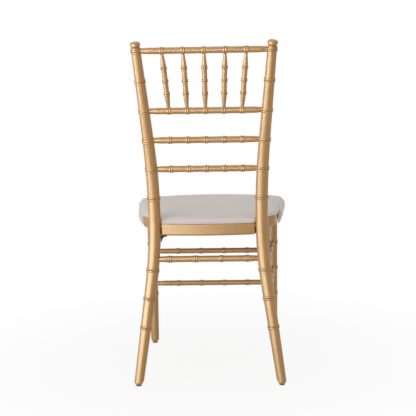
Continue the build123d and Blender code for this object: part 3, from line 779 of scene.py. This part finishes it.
def close_round_posts(mesh):
    """Draw the cover in snugly to the posts."""
    for name in ("back_post_left", "back_post_right"):
        middle, radius = post_at_seat(name)
        for vertex in mesh.vertices:
            away = Vector((vertex.co.x, vertex.co.y, 0)) - middle
            facing = Vector((vertex.normal.x, vertex.normal.y, 0)).dot(away.normalized())
            if away.length < radius + POST_PULL and facing < -0.2:
                snug = middle + away.normalized() * (radius + POST_GAP)
                vertex.co.x = snug.x
                vertex.co.y = snug.y


def soften(mesh):
    """Slow, shallow unevenness of a cushion that has been sat on."""
    across, along = DENTS_PER_METRE
    for vertex in mesh.vertices:
        if vertex.normal.z > 0.3:
            swing = noise.noise(Vector((vertex.co.x * across, vertex.co.y * along, 0.4)))
            vertex.co.z += DENT_DEPTH * swing * vertex.normal.z


class CHAIR_OT_make_cushion(bpy.types.Operator):
    """Fill the cushion's cover and set it on the seat"""

    bl_idname = "chair.make_cushion"
    bl_label = "Make Cushion"

    def execute(self, context):
        pad = context.scene.chair_pad
        mesh = cushion_blank(pad.voxel, pad.slack, pad.voxel * 2)
        mesh = fill_cushion(mesh, pad)
        mesh = evened(mesh, SMOOTH_TURNS)
        soften(mesh)
        for vertex in mesh.vertices:
            vertex.co = puffed(vertex.co, pad.puff)
        close_round_posts(mesh)
        settle(mesh)
        cushion = new_piece("seat_cushion", mesh, pad_cloth(pad, "pad_cover", 0.2))
        mesh.shade_smooth()
        cushion.modifiers.new("Fine Mesh", "SUBSURF").render_levels = 1
        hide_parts("seat_pad")
        return {"FINISHED"}


class SkirtLine:
    """Points round the skirt, with their outward directions and distances to the nearer end."""

    def __init__(self, points):
        lengths = lengths_along(points)
        self.points = points
        self.outward = [outward_at(points, index) for index in range(len(points))]
        self.to_end = [min(length, lengths[-1] - length) for length in lengths]


def skirt_line(spacing):
    """Line round the outside of the pad's skirt, from its left end over the front to its right end."""
    pad = frame["nodes"]["seat_pad"]
    tree = BVHTree.FromPolygons([v.co for v in pad.data.vertices], [p.vertices for p in pad.data.polygons])
    middle = Vector((0, (PAD_LOW.y + PAD_HIGH.y) / 2, (PAD_LOW.z + SEAT_TOP) / 2))
    far = CAD_BOX[1].length
    steps = 1440
    points = []
    for step in range(steps + 1):
        angle = math.pi * (0.5 + step / steps)
        outward = Vector((math.sin(angle), math.cos(angle), 0))
        hit, normal, _, _ = tree.ray_cast(middle + outward * far, -outward)
        if hit is not None and normal.dot(outward) > 0.2:
            points.append(Vector((hit.x, hit.y, 0)))
    return SkirtLine(even_points(points, spacing))


def lengths_along(points):
    """Length of a line up to each of its points."""
    lengths = [0.0]
    for first, second in zip(points, points[1:]):
        lengths.append(lengths[-1] + (second - first).length)
    return lengths


def even_points(points, spacing):
    """Points at an even spacing along a line."""
    lengths = lengths_along(points)
    count = int(lengths[-1] / spacing)
    placed = []
    index = 0
    for number in range(count + 1):
        along = lengths[-1] * number / count
        while index < len(points) - 2 and lengths[index + 1] < along:
            index += 1
        gap = lengths[index + 1] - lengths[index]
        share = (along - lengths[index]) / gap if gap else 0.0
        placed.append(points[index].lerp(points[index + 1], min(1.0, share)))
    return placed


def outward_at(points, index):
    """Level direction that points out of the seat at one point of the skirt's line."""
    before = points[max(0, index - 2)]
    after = points[min(len(points) - 1, index + 2)]
    along = (after - before).normalized()
    return Vector((-along.y, along.x, 0))


def skirt_height(fall, pad):
    """Height of the skirt at a share of its fall, from inside the cushion down to the hem."""
    top = SEAT_TOP + pad.tuck
    return top + (HEM_LOW - top) * fall


def skirt_face(line, index, fall, pad):
    """Place of the skirt's outer face: tucked in at the top, full in the middle, rounded under."""
    point = line.points[index]
    full = SKIRT_FULLNESS * math.sin(math.pi * fall) + pad.wave * noise.noise(point * WAVES_PER_METRE)
    drawn = SKIRT_TOP_TUCK * ease(0.12, 0.0, fall) + pad.draw_in * ease(0.4, 1.1, fall)
    drawn += HEM_ROUND * ease(0.8, 1.0, fall) ** 2 + END_ROUND * ease(END_REACH, 0.0, line.to_end[index])
    place = puffed(point, pad.puff) + line.outward[index] * (full - drawn)
    return Vector((place.x, place.y, skirt_height(fall, pad)))


def skirt_back(line, index, fall, pad):
    """Place of the skirt's inner face, close to the seat frame."""
    wall = pad.wall - HEM_BACK_ROUND * ease(0.8, 1.0, fall) ** 2
    place = line.points[index] - line.outward[index] * wall
    return Vector((place.x, place.y, skirt_height(fall, pad)))


def sewn_mesh(name, made):
    """Smooth mesh of a finished form, with its faces turned outwards."""
    bmesh.ops.recalc_face_normals(made, faces=made.faces)
    mesh = bpy.data.meshes.new(name)
    made.to_mesh(mesh)
    made.free()
    mesh.shade_smooth()
    return mesh


def skirt_mesh(line, pad):
    """Closed padded strip that hangs over the front and sides of the seat frame."""
    made = bmesh.new()
    outer, inner = [], []
    for index in range(len(line.points)):
        outer.append([made.verts.new(skirt_face(line, index, fall, pad)) for fall in SKIRT_ROWS])
        inner.append([made.verts.new(skirt_back(line, index, fall, pad)) for fall in SKIRT_ROWS])
    last = len(SKIRT_ROWS) - 1
    for left, right in zip(range(len(outer) - 1), range(1, len(outer))):
        for row in range(last):
            made.faces.new((outer[left][row], outer[left][row + 1], outer[right][row + 1], outer[right][row]))
            made.faces.new((inner[right][row], inner[right][row + 1], inner[left][row + 1], inner[left][row]))
        made.faces.new((outer[right][0], inner[right][0], inner[left][0], outer[left][0]))
        made.faces.new((outer[left][last], inner[left][last], inner[right][last], outer[right][last]))
    for row in range(last):
        made.faces.new((inner[0][row], inner[0][row + 1], outer[0][row + 1], outer[0][row]))
        made.faces.new((outer[-1][row], outer[-1][row + 1], inner[-1][row + 1], inner[-1][row]))
    return sewn_mesh("seat_skirt", made)


def stitch_mesh(line, pad):
    """Row of stitches along the top of the hem, each a short thread that dips into the cloth at its ends."""
    made = bmesh.new()
    fall = 1 - pad.hem / (SEAT_TOP + pad.tuck - HEM_LOW)
    radius = pad.thread_width / 2
    sides = [math.tau * side / THREAD_SIDES for side in range(THREAD_SIDES)]
    for index in range(3, len(line.points) - 3):
        outward = line.outward[index]
        along = Vector((outward.y, -outward.x, 0))
        middle = skirt_face(line, index, fall, pad)
        rings = []
        for share, lift in ((-0.5, -0.6), (-0.25, 0.35), (0.25, 0.35), (0.5, -0.6)):
            centre = middle + along * pad.stitch * share + outward * radius * lift
            spokes = [outward * math.cos(turn) + Vector((0, 0, math.sin(turn))) for turn in sides]
            rings.append([made.verts.new(centre + spoke * radius) for spoke in spokes])
        for near, far in zip(rings, rings[1:]):
            for corner in range(THREAD_SIDES):
                after = (corner + 1) % THREAD_SIDES
                made.faces.new((near[corner], near[after], far[after], far[corner]))
        made.faces.new(reversed(rings[0]))
        made.faces.new(rings[-1])
    return sewn_mesh("hem_stitches", made)


class CHAIR_OT_make_skirt(bpy.types.Operator):
    """Sew the skirt that hangs over the front and sides of the seat frame"""

    bl_idname = "chair.make_skirt"
    bl_label = "Make Skirt"

    def execute(self, context):
        pad = context.scene.chair_pad
        line = skirt_line(pad.stitch * STITCH_PITCH)
        if len(line.points) < 100:
            raise RuntimeError("the pad has no skirt to follow")
        cloth = pad_cloth(pad, "skirt_cover", 0.1)
        skirt = new_piece("seat_skirt", skirt_mesh(line, pad), cloth)
        skirt.modifiers.new("Fine Mesh", "SUBSURF").render_levels = 1
        stitches = new_piece("hem_stitches", stitch_mesh(line, pad), sewing_thread(pad))
        for piece in (skirt, stitches):
            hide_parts("seat_pad")
        return {"FINISHED"}


# Studio

def area_lamp(name, at, facing, size, power):
    """Soft box that faces a point."""
    lamp = bpy.data.lights.new(name, "AREA")
    lamp.shape = "RECTANGLE"
    lamp.size, lamp.size_y = size
    lamp.energy = power
    box = add_object(name, lamp)
    box.location = at
    box.rotation_mode = "QUATERNION"
    box.rotation_quaternion = (Vector(facing) - Vector(at)).to_track_quat("-Z", "Y")
    box.visible_camera = False
    return box


def shown_rays(sheet):
    """1 for rays that should see the white background: from the camera, off gloss and through glass."""
    path = sheet.add("LightPath").outputs
    seen = sheet.math("MAXIMUM", path["Is Camera Ray"], path["Is Glossy Ray"])
    return sheet.math("MAXIMUM", seen, path["Is Transmission Ray"])


def set_world(stage):
    """White behind the chair, and an even light in the room."""
    world = bpy.data.worlds.new("studio")
    world.use_nodes = True
    bpy.context.scene.world = world
    sheet = Sheet(world.node_tree)
    level = sheet.ramp(shown_rays(sheet), 0.0, 1.0, stage.ambient, 1.0)
    background = world.node_tree.nodes["Background"]
    sheet.feed(background.inputs["Color"], (1, 1, 1, 1))
    sheet.feed(background.inputs["Strength"], level)


def set_floor(stage):
    """White floor that keeps the chair's shadow and fades into the background."""
    made = bmesh.new()
    bmesh.ops.create_circle(made, cap_ends=True, segments=96, radius=40)
    mesh = bpy.data.meshes.new("floor")
    made.to_mesh(mesh)
    made.free()
    floor = add_object("floor", mesh)
    material, shader, sheet, place = new_material("floor_white")
    set_shader(sheet, shader, Base_Color=tuple(stage.floor), Roughness=0.9, Specular_IOR_Level=0.0)
    away = sheet.add("VectorMath", {0: place}, operation="LENGTH").outputs["Value"]
    near = sheet.ramp(away, stage.shadow_reach / 3, stage.shadow_reach, 1 - stage.shadow, 1.0)
    white = sheet.add("Emission", {"Color": (1, 1, 1, 1), "Strength": 1.0}).outputs[0]
    share = sheet.math("MULTIPLY", near, shown_rays(sheet))
    mixed = sheet.add("MixShader", {0: share, 1: shader.outputs[0], 2: white}).outputs[0]
    sheet.tree.links.new(mixed, sheet.tree.nodes["Material Output"].inputs["Surface"])
    mesh.materials.append(material)


def set_camera(stage):
    """Camera behind the chair, as in the photograph."""
    ahead = Vector((
        math.sin(stage.yaw) * math.cos(stage.pitch),
        -math.cos(stage.yaw) * math.cos(stage.pitch),
        -math.sin(stage.pitch),
    ))
    right = Vector((-math.cos(stage.yaw), -math.sin(stage.yaw), 0))
    up = right.cross(ahead)
    lean_right = right * math.cos(stage.roll) - up * math.sin(stage.roll)
    lean_up = up * math.cos(stage.roll) + right * math.sin(stage.roll)
    turn = Matrix((lean_right, lean_up, -ahead)).transposed()
    lens = bpy.data.cameras.new("camera")
    lens.lens = stage.lens
    lens.sensor_width = 36
    camera = add_object("camera", lens)
    camera.matrix_world = Matrix.Translation(Vector(stage.camera_at)) @ turn.to_4x4()
    bpy.context.scene.camera = camera


class CHAIR_OT_set_stage(bpy.types.Operator):
    """Set the floor, the lamps and the camera"""

    bl_idname = "chair.set_stage"
    bl_label = "Set Stage"

    def execute(self, context):
        stage = context.scene.chair_stage
        context.scene.view_settings.view_transform = "Standard"
        set_world(stage)
        set_floor(stage)
        area_lamp(
            "key_box", at=(1.97, 2.52, 1.4), facing=CHAIR_MIDDLE, size=(4.0, 2.0), power=stage.key_power)
        card = area_lamp(
            "reflection_card", at=(0.825, 1.9, 1.0), facing=(-0.116, 1.562, 1.0), size=(3.4, 2.0),
            power=stage.card_power)
        card.visible_diffuse = False
        fill = area_lamp(
            "fill_box", at=(-2.2, 1.0, 0.7), facing=CHAIR_MIDDLE, size=(2.0, 1.4), power=stage.fill_power)
        fill.visible_glossy = False
        area_lamp(
            "top_box", at=(0, -0.1, 2.6), facing=(0, 0, 0.4), size=(2.0, 2.0), power=stage.top_power)
        set_camera(stage)
        return {"FINISHED"}


class CHAIR_PT_sidebar(bpy.types.Panel):
    """Steps that dress the chair, with their settings"""

    bl_idname = "CHAIR_PT_sidebar"
    bl_label = "Turned Dining Chair"
    bl_space_type = "VIEW_3D"
    bl_region_type = "UI"
    bl_category = "Chair"

    def draw(self, context):
        for step in STEPS:
            self.layout.operator(step.bl_idname)
        for name, group in SETTINGS.items():
            box = self.layout.box()
            for field in group.__annotations__:
                box.prop(getattr(context.scene, name), field)


SETTINGS = {
    "chair_paint": PaintSettings,
    "chair_pad": PadSettings,
    "chair_fitting": FittingSettings,
    "chair_stage": StageSettings,
}
STEPS = (
    CHAIR_OT_paint_turned_frame,
    CHAIR_OT_finish_inner_wood,
    CHAIR_OT_finish_fittings,
    CHAIR_OT_make_cushion,
    CHAIR_OT_make_skirt,
    CHAIR_OT_set_stage,
)


def register():
    for group in SETTINGS.values():
        bpy.utils.register_class(group)
    for step in STEPS:
        bpy.utils.register_class(step)
    bpy.utils.register_class(CHAIR_PT_sidebar)
    for name, group in SETTINGS.items():
        setattr(bpy.types.Scene, name, bpy.props.PointerProperty(type=group))


def unregister():
    for name in SETTINGS:
        delattr(bpy.types.Scene, name)
    bpy.utils.unregister_class(CHAIR_PT_sidebar)
    for step in reversed(STEPS):
        bpy.utils.unregister_class(step)
    for group in reversed(SETTINGS.values()):
        bpy.utils.unregister_class(group)


def main():
    register()
    bpy.ops.chair.paint_turned_frame()
    bpy.ops.chair.finish_inner_wood()
    bpy.ops.chair.finish_fittings()
    bpy.ops.chair.make_cushion()
    bpy.ops.chair.make_skirt()
    bpy.ops.chair.set_stage()


if __name__ == "__main__":
    main()
